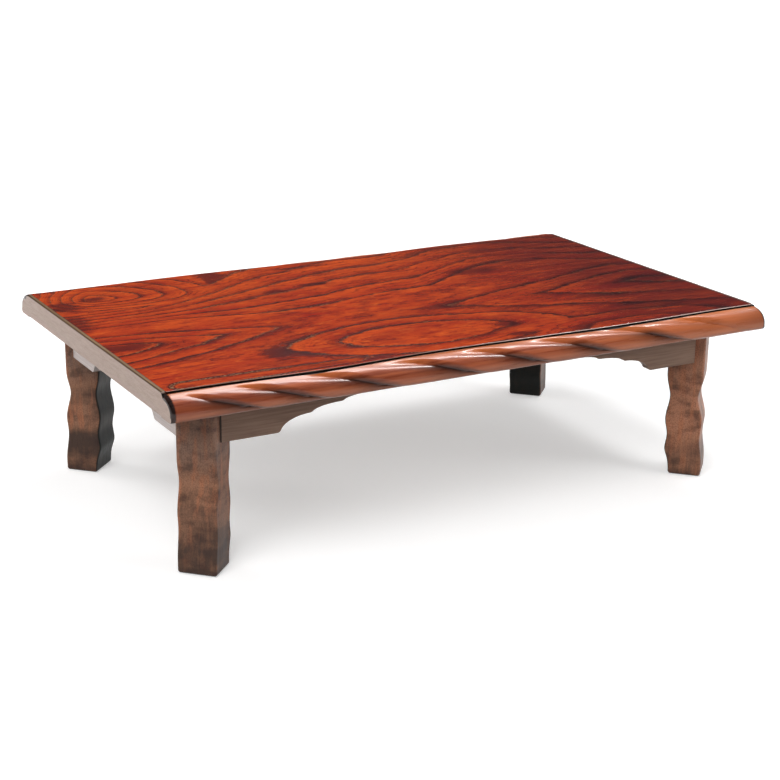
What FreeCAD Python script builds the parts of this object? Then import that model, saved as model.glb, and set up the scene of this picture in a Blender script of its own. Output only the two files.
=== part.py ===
import FreeCAD, Part
import math
import os

# Low table with folding legs: a flush top with carved mouldings along its front and back, scalloped
# aprons and four wavy legs set across the corners, each on a hinge that folds it diagonally inwards.
# Millimetres. +X runs along the length, the front is at -Y, +Z is up, and the origin is on the floor
# under the middle of the top.

V = FreeCAD.Vector
X_AXIS = V(1, 0, 0)
Y_AXIS = V(0, 1, 0)
Z_AXIS = V(0, 0, 1)
QUARTER = math.pi / 2
HALF_TURN = math.pi

SIZES = {
    # overall
    "table_length": "1200",
    "table_depth": "750",
    "table_height": "340",
    # layers of the top
    "face_thickness": "3",
    "core_thickness": "17",
    "backing_thickness": "3",
    "face_edge_round": "1.2",
    "core_rail_width": "63",
    "end_core_width": "70",
    "hinge_rail_width": "106",
    "cross_rail_width": "50",
    "cross_rail_spacing": "200",
    # front and back mouldings
    "edge_height": "42",
    "moulding_width": "45",
    "moulding_step": "2.5",
    "moulding_end_round": "8",
    "nose_depth": "35",
    "nose_rise": "26.5",
    "nose_round": "10",
    "groove_width": "4",
    "groove_depth": "4",
    # front edge of the face sheet: setback from the front, and its wave from the left end to the right
    "face_setback": "38",
    "wave_first": "-3.2",
    "wave_second": "-2.1",
    "wave_third": "3.4",
    "wave_fourth": "-4.5",
    "wave_fifth": "-4.2",
    "wave_sixth": "1.4",
    "wave_seventh": "4.5",
    "wave_eighth": "1",
    "wave_ninth": "0.6",
    # gouges across the nose
    "gouge_radius": "12",
    "gouge_depth": "4.5",
    "gouge_place": "152",
    "gouge_slope": "17",
    "gouge_length": "190",
    "gouge_margin": "24",
    "gouge_shift": "-27",
    "gouge_count": "8",
    # end rails
    "end_rail_width": "24",
    "end_lip_width": "8",
    "end_top_round": "3",
    "end_bottom_round": "3",
    # aprons and their glue blocks
    "front_apron_setback": "68",
    "end_apron_setback": "59",
    "apron_thickness": "18",
    "apron_depth": "87",
    "apron_gap": "1.2",
    "apron_foot_length": "109",
    "arch_step": "59",
    "first_rise": "26.5",
    "second_rise": "11.5",
    "third_rise": "9",
    "scallop_round": "8",
    "block_size": "20",
    "block_length": "60",
    "long_block_spacing": "280",
    "short_block_spacing": "200",
    # legs, measured from the leg's own centre line and from the floor
    "leg_long_inset": "90",
    "leg_front_inset": "99",
    "leg_width": "70",
    "leg_top_clearance": "0.3",
    "leg_edge_round": "5",
    "shank_outer": "27",
    "shank_inner": "42",
    "shank_height": "205",
    "waist_outer": "19.5",
    "waist_inner": "34.5",
    "waist_height": "158",
    "belly_outer": "29.5",
    "belly_inner": "40.7",
    "belly_height": "110",
    "ankle_outer": "27.3",
    "ankle_inner": "36",
    "ankle_height": "79",
    "heel_inner": "38.8",
    "heel_height": "56",
    "foot_outer": "33",
    "foot_inner": "29.5",
    "foot_height": "30",
    "pad_thickness": "2",
    "pad_proud": "1",
    "pad_inset": "9",
    # hinges
    "pivot_drop": "14",
    "pin_diameter": "6",
    "pin_head_diameter": "9",
    "pin_head_thickness": "1.5",
    "knuckle_wall": "3",
    "knuckle_length": "44",
    "leaf_thickness": "3",
    "leaf_length": "62",
    "base_thickness": "3",
    "base_length": "62",
    "base_width": "80",
    "ear_thickness": "3",
    "ear_margin": "0.5",
    "ear_reach": "22",
    "washer_thickness": "0.8",
    "washer_margin": "0.3",
    "running_clearance": "0.05",
    "side_clearance": "0.1",
    # screws
    "screw_diameter": "4",
    "screw_head_diameter": "8",
    "screw_head_height": "2.5",
    "pilot_clearance": "0.05",
    "base_screw_length": "18",
    "base_screw_inset": "8",
    "base_screw_spacing": "38",
    "base_screw_spread": "66",
    "leaf_screw_length": "25",
    "leaf_screw_inset": "16",
    "leaf_screw_spacing": "30",
    "leaf_screw_spread": "26",
    "block_screw_length": "32",
}

# Heights, half sizes and fits that follow from the sizes above.
DERIVED = {
    "face_bottom": "Sizes.table_height - Sizes.face_thickness",
    "core_bottom": "Sizes.table_height - Sizes.face_thickness - Sizes.core_thickness",
    "panel_underside": "core_bottom - Sizes.backing_thickness",
    "edge_bottom": "Sizes.table_height - Sizes.edge_height",
    "panel_half_length": "Sizes.table_length / 2 - Sizes.end_rail_width",
    "panel_half_depth": "Sizes.table_depth / 2 - Sizes.moulding_width",
    "inner_half_depth": "panel_half_depth - Sizes.core_rail_width",
    "gouge_pitch": "(Sizes.table_length - 2 * Sizes.gouge_margin) / Sizes.gouge_count",
    "leg_centre_x": "Sizes.table_length / 2 - Sizes.leg_long_inset",
    "leg_centre_y": "Sizes.table_depth / 2 - Sizes.leg_front_inset",
    "leg_side": "Sizes.leg_width / 2 + Sizes.apron_gap",
    "front_apron_face": "Sizes.table_depth / 2 - Sizes.front_apron_setback",
    "end_apron_face": "Sizes.table_length / 2 - Sizes.end_apron_setback",
    "long_apron_half": "leg_centre_x - sqrt(2) * leg_side + front_apron_face - leg_centre_y",
    "short_apron_half": "leg_centre_y - sqrt(2) * leg_side + end_apron_face - leg_centre_x",
    "apron_bottom": "panel_underside - Sizes.apron_depth",
    "leg_top": "panel_underside - Sizes.leg_top_clearance",
    "knuckle_radius": "Sizes.pin_diameter / 2 + Sizes.knuckle_wall",
    "pivot_offset": "Sizes.shank_inner + knuckle_radius",
    "pivot_height": "panel_underside - Sizes.pivot_drop",
    "base_bottom": "panel_underside - Sizes.base_thickness",
    "ear_radius": "knuckle_radius - Sizes.ear_margin",
    "ear_inner": "Sizes.knuckle_length / 2 + Sizes.washer_thickness + 2 * Sizes.side_clearance",
    "ear_outer": "ear_inner + Sizes.ear_thickness",
}

# Each corner's signs along X and Y.
CORNERS = {
    "front_left": (-1, -1),
    "front_right": (1, -1),
    "back_left": (-1, 1),
    "back_right": (1, 1),
}

doc = FreeCAD.newDocument("LowTable")
parts = []


def fill_sheet(name, cells, prefix):
    """Add a spreadsheet with one named cell for each entry."""
    sheet = doc.addObject("Spreadsheet::Sheet", name)
    for row, (alias, text) in enumerate(cells.items(), start=1):
        sheet.set(f"A{row}", alias)
        sheet.setAlias(f"B{row}", alias)
        sheet.set(f"B{row}", prefix + text)
    doc.recompute()
    return sheet


sizes = fill_sheet("Sizes", SIZES, "")
derived = fill_sheet("Derived", DERIVED, "=")


def size(alias):
    """The value of a named cell, in millimetres or degrees."""
    sheet = sizes if alias in SIZES else derived
    return float(sheet.get(alias))


def node(shape_object, label):
    """Name a finished sub-part and keep it for writing."""
    shape_object.Label = label
    parts.append(shape_object)
    return shape_object


def bind(target, **expressions):
    """Bind properties of an object to expressions on the sheets."""
    for prop, expression in expressions.items():
        target.setExpression(prop, expression)
    return target


def box(name, length, width, height, x, y, z):
    """A block whose sides and lowest corner are expressions."""
    block = doc.addObject("Part::Box", name)
    bind(block, Length=length, Width=width, Height=height)
    block.setExpression("Placement.Base.x", x)
    block.setExpression("Placement.Base.y", y)
    block.setExpression("Placement.Base.z", z)
    return block


def cylinder(name, radius, length, base, axis, place=None):
    """A round bar with bound radius and length, starting at base and running along axis."""
    bar = doc.addObject("Part::Cylinder", name)
    bind(bar, Radius=radius, Height=length)
    local = FreeCAD.Placement(base, FreeCAD.Rotation(Z_AXIS, axis))
    bar.Placement = place.multiply(local) if place else local
    return bar


def fuse(name, shapes):
    joined = doc.addObject("Part::MultiFuse", name)
    joined.Shapes = shapes
    return joined


def group(name, shapes):
    together = doc.addObject("Part::Compound", name)
    together.Links = shapes
    return together


def cut(name, base, tools):
    """Base with every tool taken out of it."""
    result = doc.addObject("Part::Cut", name)
    result.Base = base
    result.Tool = tools[0] if len(tools) == 1 else group(name + "_tools", tools)
    return result


def line(x0, y0, x1, y1):
    return Part.LineSegment(V(x0, y0, 0), V(x1, y1, 0))


def arc(x, y, radius, start, end):
    return Part.ArcOfCircle(Part.Circle(V(x, y, 0), Z_AXIS, radius), start, end)


def ellipse_arc(x, y, half_width, half_height, start, end):
    return Part.ArcOfEllipse(Part.Ellipse(V(x, y, 0), half_width, half_height), start, end)


def add_sketch(body, role, curves):
    """A sketch of the given curves on one of the body's own origin planes."""
    sketch = body.newObject("Sketcher::SketchObject", body.Name + "_" + role)
    plane = next(item for item in body.Origin.OriginFeatures if item.Role == role)
    sketch.AttachmentSupport = [(plane, "")]
    sketch.MapMode = "FlatFace"
    for curve in curves:
        sketch.addGeometry(curve, False)
    return sketch


def padded_body(name, role, curves, length):
    """A body with one outline, padded evenly to both sides of its plane."""
    body = doc.addObject("PartDesign::Body", name)
    pad = body.newObject("PartDesign::Pad", name + "_pad")
    pad.Profile = add_sketch(body, role, curves)
    pad.SideType = "Symmetric"
    bind(pad, Length=length)
    body.Tip = pad
    doc.recompute()
    return body, pad


def round_edges(body, feature, chosen, radius):
    """Round the edges of the feature's shape that chosen accepts."""
    names = [f"Edge{i}" for i, edge in enumerate(feature.Shape.Edges, start=1) if chosen(edge)]
    fillet = body.newObject("PartDesign::Fillet", body.Name + "_fillet")
    fillet.Base = (feature, names)
    bind(fillet, Radius=radius)
    body.Tip = fillet
    doc.recompute()
    return fillet


def turned(degrees, base=V(0, 0, 0)):
    return FreeCAD.Placement(base, FreeCAD.Rotation(Z_AXIS, degrees))


def corner_place(corner):
    """Frame of a leg: +X points outwards across the corner, origin on the floor at the leg's centre."""
    sign_x, sign_y = CORNERS[corner]
    base = V(sign_x * size("leg_centre_x"), sign_y * size("leg_centre_y"), 0)
    return turned(math.degrees(math.atan2(sign_y, sign_x)), base)


def put_at_corner(piece, corner):
    """Place a piece made in the leg's frame, with its base tied to the leg's centre."""
    sign_x, sign_y = CORNERS[corner]
    piece.Placement = corner_place(corner)
    piece.setExpression("Placement.Base.x", f"{sign_x} * Derived.leg_centre_x")
    piece.setExpression("Placement.Base.y", f"{sign_y} * Derived.leg_centre_y")
    return piece


# Screw places. Base screws and leaf screws are in the leg's frame, block screws in the table's.


def base_screw_spots():
    spread = size("base_screw_spread") / 2
    first = -size("pivot_offset") - size("base_screw_inset")
    rows = (first, first - size("base_screw_spacing"))
    return [V(row, side * spread, size("base_bottom")) for row in rows for side in (-1, 1)]


def leaf_screw_spots():
    spread = size("leaf_screw_spread") / 2
    face = -size("shank_inner") - size("leaf_thickness")
    first = size("pivot_height") - size("leaf_screw_inset")
    rows = (first, first - size("leaf_screw_spacing"))
    return [V(face, side * spread, row) for row in rows for side in (-1, 1)]


def block_rows():
    """Plan centres of the glue blocks behind each apron, with the apron's name."""
    inward = size("apron_thickness") + size("block_size") / 2
    long_line = size("front_apron_face") - inward
    short_line = size("end_apron_face") - inward
    long_step = size("long_block_spacing")
    short_step = size("short_block_spacing") / 2
    return {
        "front": [(along, -long_line) for along in (-long_step, 0, long_step)],
        "back": [(along, long_line) for along in (-long_step, 0, long_step)],
        "left": [(-short_line, along) for along in (-short_step, short_step)],
        "right": [(short_line, along) for along in (-short_step, short_step)],
    }


def block_screw_spots():
    head_face = size("panel_underside") - size("block_size")
    return [V(x, y, head_face) for row in block_rows().values() for x, y in row]


def screws(name, spots, axis, length):
    """Pan-head screws as one group: each head lies outside its spot, each shank runs along axis."""
    bars = []
    for i, spot in enumerate(spots):
        head_base = spot - axis * size("screw_head_height")
        bars.append(cylinder(f"{name}_head_{i}", "Sizes.screw_head_diameter / 2",
                             "Sizes.screw_head_height", head_base, axis))
        bars.append(cylinder(f"{name}_shank_{i}", "Sizes.screw_diameter / 2", length, spot, axis))
    return fuse(name, bars)


def drills(name, spots, axis, length, place=None):
    """Pilot holes for the screws at the same spots."""
    radius = "Sizes.screw_diameter / 2 + Sizes.pilot_clearance"
    return [cylinder(f"{name}_drill_{i}", radius, length, spot, axis, place)
            for i, spot in enumerate(spots)]


def base_drills(name, corner):
    return drills(name + "_" + corner, base_screw_spots(), Z_AXIS, "Sizes.base_screw_length",
                  corner_place(corner))


def block_drills(name, spots):
    return drills(name, spots, Z_AXIS, "Sizes.block_screw_length")


# The flush top: face sheet, core frame, backing.


def face_edge(forward=0.0):
    """Wavy front edge of the face sheet along the whole table, moved forward by a given amount."""
    waves = [size(alias) for alias in SIZES if alias.startswith("wave_")]
    half = size("table_length") / 2
    middle = size("face_setback") - size("table_depth") / 2
    step = 2 * half / (len(waves) - 1)
    edge = Part.BSplineCurve()
    edge.interpolate([V(i * step - half, middle - wave - forward, 0) for i, wave in enumerate(waves)])
    return edge


def between(first, second):
    """A closed outline of two curves and the straight lines that join their ends."""
    starts = first.StartPoint, second.StartPoint
    ends = first.EndPoint, second.EndPoint
    return [first, second, Part.LineSegment(*starts), Part.LineSegment(*ends)]


def face_blank(name):
    """The face sheet before its edges are eased. The back edge is the front one turned about the middle."""
    back = face_edge()
    back.rotate(turned(180))
    back.reverse()
    sheet, _ = padded_body(name + "_sheet", "XY_Plane", between(face_edge(), back), "Sizes.face_thickness")
    sheet.setExpression("Placement.Base.z", "Derived.face_bottom + Sizes.face_thickness / 2")
    ends = box(name + "_ends", "Sizes.table_length - 2 * Sizes.end_lip_width", "Sizes.table_depth",
               "Sizes.face_thickness", "Sizes.end_lip_width - Sizes.table_length / 2",
               "-Sizes.table_depth / 2", "Derived.face_bottom")
    blank = doc.addObject("Part::MultiCommon", name)
    blank.Shapes = [sheet, ends]
    doc.recompute()
    return blank


def make_top_veneer():
    blank = face_blank("top_veneer_blank")
    top = blank.Shape.BoundBox.ZMax
    sheet = doc.addObject("Part::Fillet", "top_veneer")
    sheet.Base = blank
    radius = size("face_edge_round")
    sheet.Edges = [(i, radius, radius) for i, edge in enumerate(blank.Shape.Edges, start=1)
                   if edge.BoundBox.ZMin > top - radius / 2 and edge.BoundBox.XLength > edge.BoundBox.YLength]
    node(sheet, "top_veneer")


def core_board(name, length, width, x, y):
    return box(name, length, width, "Sizes.core_thickness", x, y, "Derived.core_bottom")


def make_core_frame():
    half_length = "Derived.panel_half_length"
    inner_depth = "2 * Derived.inner_half_depth"
    inner_front = "-Derived.inner_half_depth"
    rows = block_rows()
    head_face = size("panel_underside") - size("block_size")
    for side, y in (("front", "-Derived.panel_half_depth"), ("back", "Derived.inner_half_depth")):
        rail = core_board(side + "_core_blank", "2 * " + half_length, "Sizes.core_rail_width",
                          "-" + half_length, y)
        spots = [V(*plan, head_face) for plan in rows[side]]
        node(cut(side + "_core_rail", rail, block_drills(side + "_core", spots)), side + "_core_rail")
    outer_starts = {"left": "-" + half_length, "right": half_length + " - Sizes.end_core_width"}
    for side, x in outer_starts.items():
        rail = core_board(side + "_core_blank", "Sizes.end_core_width", inner_depth, x, inner_front)
        spots = [V(*plan, head_face) for plan in rows[side]]
        node(cut(side + "_core_rail", rail, block_drills(side + "_core", spots)), side + "_core_rail")
    hinge_starts = {
        "left": "-" + half_length + " + Sizes.end_core_width",
        "right": half_length + " - Sizes.end_core_width - Sizes.hinge_rail_width",
    }
    for side, x in hinge_starts.items():
        rail = core_board(side + "_hinge_blank", "Sizes.hinge_rail_width", inner_depth, x, inner_front)
        holes = [hole for corner in ("front_" + side, "back_" + side)
                 for hole in base_drills("hinge_rail", corner)]
        node(cut(side + "_hinge_rail", rail, holes), side + "_hinge_rail")
    for name, place in (("left", -1), ("middle", 0), ("right", 1)):
        x = f"{place} * Sizes.cross_rail_spacing - Sizes.cross_rail_width / 2"
        rail = core_board(name + "_cross_rail", "Sizes.cross_rail_width", inner_depth, x, inner_front)
        node(rail, name + "_cross_rail")


def make_underside_panel():
    blank = box("underside_blank", "2 * Derived.panel_half_length", "2 * Derived.panel_half_depth",
                "Sizes.backing_thickness", "-Derived.panel_half_length", "-Derived.panel_half_depth",
                "Derived.panel_underside")
    holes = block_drills("underside", block_screw_spots())
    for corner in CORNERS:
        holes += base_drills("underside", corner)
    node(cut("underside_panel", blank, holes), "underside_panel")


# The edges of the top.


def moulding_outline():
    """Section of the front moulding: a long bullnose over a tight lower round, with a flat top behind."""
    front = -size("table_depth") / 2
    inner = -size("panel_half_depth")
    depth = size("nose_depth")
    top = size("table_height") - size("moulding_step")
    bottom = size("edge_bottom")
    rise = size("nose_rise")
    radius = size("nose_round")
    shoulder = top - rise
    return [
        ellipse_arc(front + depth, shoulder, depth, rise, QUARTER, HALF_TURN),
        line(front, shoulder, front, bottom + radius),
        arc(front + radius, bottom + radius, radius, HALF_TURN, HALF_TURN + QUARTER),
        line(front + radius, bottom, inner, bottom),
        line(inner, bottom, inner, top),
        line(inner, top, front + depth, top),
    ]


def groove_tool(name):
    """What is taken out for the groove that follows the edge of the face sheet."""
    outline = between(face_edge(), face_edge(size("groove_width")))
    tool, _ = padded_body(name, "XY_Plane", outline, "2 * Sizes.groove_depth")
    tool.setExpression("Placement.Base.z", "Sizes.table_height")
    return tool


def gouges(name):
    """Round-bottomed diagonal cuts across the nose, which fade out above and below it."""
    depth = size("nose_depth")
    rise = size("nose_rise")
    middle_y = depth - size("table_depth") / 2
    middle_z = size("table_height") - size("moulding_step") - rise
    place = math.radians(size("gouge_place"))
    spot = V(0, middle_y + depth * math.cos(place), middle_z + rise * math.sin(place))
    outward = V(0, math.cos(place) / depth, math.sin(place) / rise).normalize()
    down = X_AXIS.cross(outward)
    slope = math.radians(size("gouge_slope"))
    along = X_AXIS * math.cos(slope) + down * math.sin(slope)
    start = spot + outward * (size("gouge_radius") - size("gouge_depth")) - along * (size("gouge_length") / 2)
    count = int(size("gouge_count"))
    first = size("gouge_shift") - (count - 1) / 2 * size("gouge_pitch")
    return [cylinder(f"{name}_gouge_{i}", "Sizes.gouge_radius", "Sizes.gouge_length",
                     start + X_AXIS * (first + i * size("gouge_pitch")), along)
            for i in range(count)]


def make_mouldings():
    nose = size("nose_depth") - size("table_depth") / 2
    end = size("table_length") / 2
    tiny = size("running_clearance")

    def on_nose_end(edge):
        reach = edge.BoundBox
        return reach.XLength < tiny and abs(abs(reach.Center.x) - end) < tiny and reach.YMin < nose - tiny \
            and reach.YMax < nose + tiny and reach.YLength + reach.ZLength > tiny

    for side, degrees in (("front", 0), ("back", 180)):
        name = side + "_moulding"
        body, pad = padded_body(name + "_blank", "YZ_Plane", moulding_outline(), "Sizes.table_length")
        round_edges(body, pad, on_nose_end, "Sizes.moulding_end_round")
        seated = cut(name + "_seated", body, [face_blank(name + "_seat")])
        grooved = cut(name + "_grooved", seated, [groove_tool(name + "_groove")])
        carved = cut(name, grooved, gouges(name))
        carved.Placement = turned(degrees)
        node(carved, name)


def end_rail_outline():
    """Section of the right end rail: flat face, rounded top arris, rebate that carries the face sheet."""
    outer = size("table_length") / 2
    inner = size("panel_half_length")
    lip = outer - size("end_lip_width")
    top = size("table_height")
    seat = size("face_bottom")
    bottom = size("edge_bottom")
    upper = size("end_top_round")
    lower = size("end_bottom_round")
    return [
        line(inner, bottom, outer - lower, bottom),
        arc(outer - lower, bottom + lower, lower, -QUARTER, 0),
        line(outer, bottom + lower, outer, top - upper),
        arc(outer - upper, top - upper, upper, 0, QUARTER),
        line(outer - upper, top, lip, top),
        line(lip, top, lip, seat),
        line(lip, seat, inner, seat),
        line(inner, seat, inner, bottom),
    ]


def make_end_rails():
    for side, degrees in (("right", 0), ("left", 180)):
        name = side + "_end_rail"
        body, _ = padded_body(name, "XZ_Plane", end_rail_outline(), "2 * Derived.panel_half_depth")
        body.Placement = turned(degrees)
        node(body, name)


# Aprons, their glue blocks and the screws through the blocks.


def apron_outline(half, rises):
    """Front view of an apron: deep feet at the legs, then quarter ellipses that step up to the middle."""
    top = size("panel_underside")
    bottom = size("apron_bottom")
    step = size("arch_step")
    start = half - size("apron_foot_length")
    curves = [
        line(-half, top, half, top),
        line(half, top, half, bottom),
        line(half, bottom, start, bottom),
        line(-start, bottom, -half, bottom),
        line(-half, bottom, -half, top),
    ]
    x = start
    z = bottom
    for rise in rises:
        x -= step
        curves.append(ellipse_arc(x, z, step, rise, 0, QUARTER))
        curves.append(ellipse_arc(-x, z, step, rise, QUARTER, HALF_TURN))
        z += rise
    curves.append(line(x, z, -x, z))
    return curves


def on_scallop(half, rises):
    """Picks the edges through the apron's thickness at the outward corners of its arch."""
    tiny = size("running_clearance")
    corner_x = half - size("apron_foot_length")
    corner_z = size("apron_bottom")
    corners = []
    for rise in rises:
        corners.append((corner_x, corner_z))
        corner_x -= size("arch_step")
        corner_z += rise

    def chosen(edge):
        reach = edge.BoundBox
        through = reach.XLength < tiny and reach.ZLength < tiny
        return through and any(abs(abs(reach.Center.x) - x) < tiny and abs(reach.Center.z - z) < tiny
                               for x, z in corners)

    return chosen


def mitre_outline(half):
    """Plan of what the two end cuts take away, so that the ends lie along the legs' sides."""
    thickness = size("apron_thickness")
    face = -thickness / 2
    back = thickness / 2
    curves = []
    for side in (-1, 1):
        outer = side * half
        inner = side * (half - thickness)
        curves.append(line(outer, face, outer, back))
        curves.append(line(outer, back, inner, back))
        curves.append(line(inner, back, outer, face))
    return curves


def make_aprons():
    long_rises = [size("first_rise"), size("second_rise"), size("third_rise")]
    short_rises = long_rises[:2]
    aprons = (
        ("front", 0, "long_apron_half", long_rises, "y", "-", "front_apron_face"),
        ("back", 180, "long_apron_half", long_rises, "y", "", "front_apron_face"),
        ("left", -90, "short_apron_half", short_rises, "x", "-", "end_apron_face"),
        ("right", 90, "short_apron_half", short_rises, "x", "", "end_apron_face"),
    )
    for side, degrees, half_alias, rises, axis, sign, face in aprons:
        name = side + "_apron"
        half = size(half_alias)
        body, pad = padded_body(name, "XZ_Plane", apron_outline(half, rises), "Sizes.apron_thickness")
        whole = pad.Shape.Volume
        pocket = body.newObject("PartDesign::Pocket", name + "_mitres")
        pocket.Profile = add_sketch(body, "XY_Plane", mitre_outline(half))
        pocket.SideType = "Symmetric"
        pocket.Type = "ThroughAll"
        body.Tip = pocket
        doc.recompute()
        if pocket.Shape.Volume >= whole:
            raise RuntimeError(name + ": the mitres cut nothing")
        round_edges(body, pocket, on_scallop(half, rises), "Sizes.scallop_round")
        body.Placement = turned(degrees)
        body.setExpression("Placement.Base." + axis,
                           f"{sign}(Derived.{face} - Sizes.apron_thickness / 2)")
        node(body, name)


def make_glue_blocks():
    across = ("Sizes.block_length", "Sizes.block_size")
    along = ("Sizes.block_size", "Sizes.block_length")
    bottom = "Derived.panel_underside - Sizes.block_size"
    head_face = size("panel_underside") - size("block_size")
    for side, plans in block_rows().items():
        length, width = across if side in ("front", "back") else along
        blocks = [box(f"{side}_block_{i}", length, width, "Sizes.block_size",
                      f"{x} - {length} / 2", f"{y} - {width} / 2", bottom)
                  for i, (x, y) in enumerate(plans)]
        holes = block_drills(side + "_block", [V(x, y, head_face) for x, y in plans])
        name = side + "_apron_blocks"
        node(cut(name, group(name + "_blanks", blocks), holes), name)
    node(screws("block_screws", block_screw_spots(), Z_AXIS, "Sizes.block_screw_length"), "block_screws")


# Legs and their hinges, made in the leg's frame.


def leg_outline():
    """Side view of a leg: straight shank, waist, belly and ankle, with a flared foot."""
    top = size("leg_top")
    floor = size("pad_proud")
    shank = size("shank_height")
    outer = Part.BSplineCurve()
    outer.interpolate(Points=[
        V(size("foot_outer"), floor, 0),
        V(size("foot_outer"), size("foot_height"), 0),
        V(size("ankle_outer"), size("ankle_height"), 0),
        V(size("belly_outer"), size("belly_height"), 0),
        V(size("waist_outer"), size("waist_height"), 0),
        V(size("shank_outer"), shank, 0),
    ], InitialTangent=V(0, 1, 0), FinalTangent=V(0, 1, 0))
    inner = Part.BSplineCurve()
    inner.interpolate(Points=[
        V(-size("shank_inner"), shank, 0),
        V(-size("waist_inner"), size("waist_height"), 0),
        V(-size("belly_inner"), size("belly_height"), 0),
        V(-size("ankle_inner"), size("ankle_height"), 0),
        V(-size("heel_inner"), size("heel_height"), 0),
        V(-size("foot_inner"), floor, 0),
    ], InitialTangent=V(0, -1, 0), FinalTangent=V(0, -1, 0))
    return [
        outer,
        line(size("shank_outer"), shank, size("shank_outer"), top),
        line(size("shank_outer"), top, -size("shank_inner"), top),
        line(-size("shank_inner"), top, -size("shank_inner"), shank),
        inner,
        line(-size("foot_inner"), floor, size("foot_outer"), floor),
    ]


def foot_pad_block(name):
    """The felt pad's block, which also cuts its recess in the foot."""
    return box(name, "Sizes.foot_inner + Sizes.foot_outer - 2 * Sizes.pad_inset",
               "Sizes.leg_width - 2 * Sizes.pad_inset", "Sizes.pad_thickness",
               "Sizes.pad_inset - Sizes.foot_inner", "Sizes.pad_inset - Sizes.leg_width / 2", "0")


def make_leg(corner):
    name = "leg_" + corner
    body, pad = padded_body(name + "_blank", "XZ_Plane", leg_outline(), "Sizes.leg_width")
    top = size("leg_top")
    side = size("leg_width") / 2
    floor = size("pad_proud")
    tiny = size("running_clearance")

    def shows(edge):
        reach = edge.BoundBox
        on_side = reach.YLength < tiny and abs(abs(reach.Center.y) - side) < tiny
        at_top = reach.ZMin > top - tiny
        at_floor = reach.ZMax < floor + tiny
        return (on_side and not at_top) or at_floor

    round_edges(body, pad, shows, "Sizes.leg_edge_round")
    depth = "Sizes.leaf_screw_length"
    recess = foot_pad_block(name + "_recess")
    bored = cut(name, body, drills(name, leaf_screw_spots(), X_AXIS, depth) + [recess])
    node(put_at_corner(bored, corner), name)


def make_foot_pad(corner):
    name = "foot_pad_" + corner
    node(put_at_corner(group(name, [foot_pad_block(name + "_blank")]), corner), name)


def ear_outline():
    """Side view of a hinge ear: round about the pin, with a sloping back edge up to the plate."""
    pivot_x = -size("pivot_offset")
    pivot_z = size("pivot_height")
    radius = size("ear_radius")
    top = size("panel_underside")
    rise = top - pivot_z
    reach = size("ear_reach")
    toward = math.atan2(rise, -reach)
    touch = toward + math.acos(radius / math.hypot(reach, rise))
    return [
        arc(pivot_x, pivot_z, radius, touch, 2 * HALF_TURN),
        line(pivot_x + radius, pivot_z, pivot_x + radius, top),
        line(pivot_x + radius, top, pivot_x - reach, top),
        line(pivot_x - reach, top, pivot_x + radius * math.cos(touch), pivot_z + radius * math.sin(touch)),
    ]


def pivot_bar(name, radius, length, start):
    """A round bar on the pivot line, which runs along the leg frame's Y."""
    base = V(-size("pivot_offset"), start, size("pivot_height"))
    return cylinder(name, radius, length, base, Y_AXIS)


def make_hinge_base(corner):
    name = "hinge_base_" + corner
    plate = box(name + "_plate", "Sizes.base_length + Derived.ear_radius", "Sizes.base_width",
                "Sizes.base_thickness", "-Derived.pivot_offset - Sizes.base_length",
                "-Sizes.base_width / 2", "Derived.base_bottom")
    ears, _ = padded_body(name + "_ears", "XZ_Plane", ear_outline(), "2 * Derived.ear_outer")
    gap = box(name + "_gap", "Sizes.ear_reach + 2 * Derived.knuckle_radius", "2 * Derived.ear_inner",
              "Sizes.pivot_drop + Derived.knuckle_radius",
              "-Derived.pivot_offset - Sizes.ear_reach - Derived.knuckle_radius", "-Derived.ear_inner",
              "Derived.pivot_height - Derived.knuckle_radius")
    blank = fuse(name + "_blank", [plate, cut(name + "_pair", ears, [gap])])
    bore = pivot_bar(name + "_bore", "Sizes.pin_diameter / 2 + Sizes.running_clearance",
                     "2 * Derived.ear_outer", -size("ear_outer"))
    holes = drills(name, base_screw_spots(), Z_AXIS, "Sizes.base_screw_length")
    node(put_at_corner(cut(name, blank, [bore] + holes), corner), name)


def make_hinge_leaf(corner):
    name = "hinge_leaf_" + corner
    plate = box(name + "_plate", "Sizes.leaf_thickness", "Sizes.knuckle_length", "Sizes.leaf_length",
                "-Sizes.shank_inner - Sizes.leaf_thickness", "-Sizes.knuckle_length / 2",
                "Derived.pivot_height - Sizes.leaf_length")
    knuckle = pivot_bar(name + "_knuckle", "Derived.knuckle_radius", "Sizes.knuckle_length",
                        -size("knuckle_length") / 2)
    bore = pivot_bar(name + "_bore", "Sizes.pin_diameter / 2 + Sizes.running_clearance",
                     "Sizes.knuckle_length", -size("knuckle_length") / 2)
    holes = drills(name, leaf_screw_spots(), X_AXIS, "Sizes.leaf_screw_length")
    leaf = cut(name, fuse(name + "_blank", [plate, knuckle]), [bore] + holes)
    node(put_at_corner(leaf, corner), name)


def make_hinge_pin(corner):
    name = "hinge_pin_" + corner
    outer = size("ear_outer")
    shank = pivot_bar(name + "_shank", "Sizes.pin_diameter / 2", "2 * Derived.ear_outer", -outer)
    heads = [pivot_bar(f"{name}_head_{i}", "Sizes.pin_head_diameter / 2", "Sizes.pin_head_thickness", start)
             for i, start in enumerate((-outer - size("pin_head_thickness"), outer))]
    node(put_at_corner(fuse(name, [shank] + heads), corner), name)


def make_hinge_washers(corner):
    name = "hinge_washers_" + corner
    near = size("knuckle_length") / 2 + size("side_clearance")
    starts = (near, -near - size("washer_thickness"))
    discs = [pivot_bar(f"{name}_disc_{i}", "Derived.ear_radius - Sizes.washer_margin",
                       "Sizes.washer_thickness", start) for i, start in enumerate(starts)]
    bore = pivot_bar(name + "_bore", "Sizes.pin_diameter / 2 + Sizes.running_clearance",
                     "2 * Derived.ear_inner", -size("ear_inner"))
    node(put_at_corner(cut(name, group(name + "_discs", discs), [bore]), corner), name)


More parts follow.
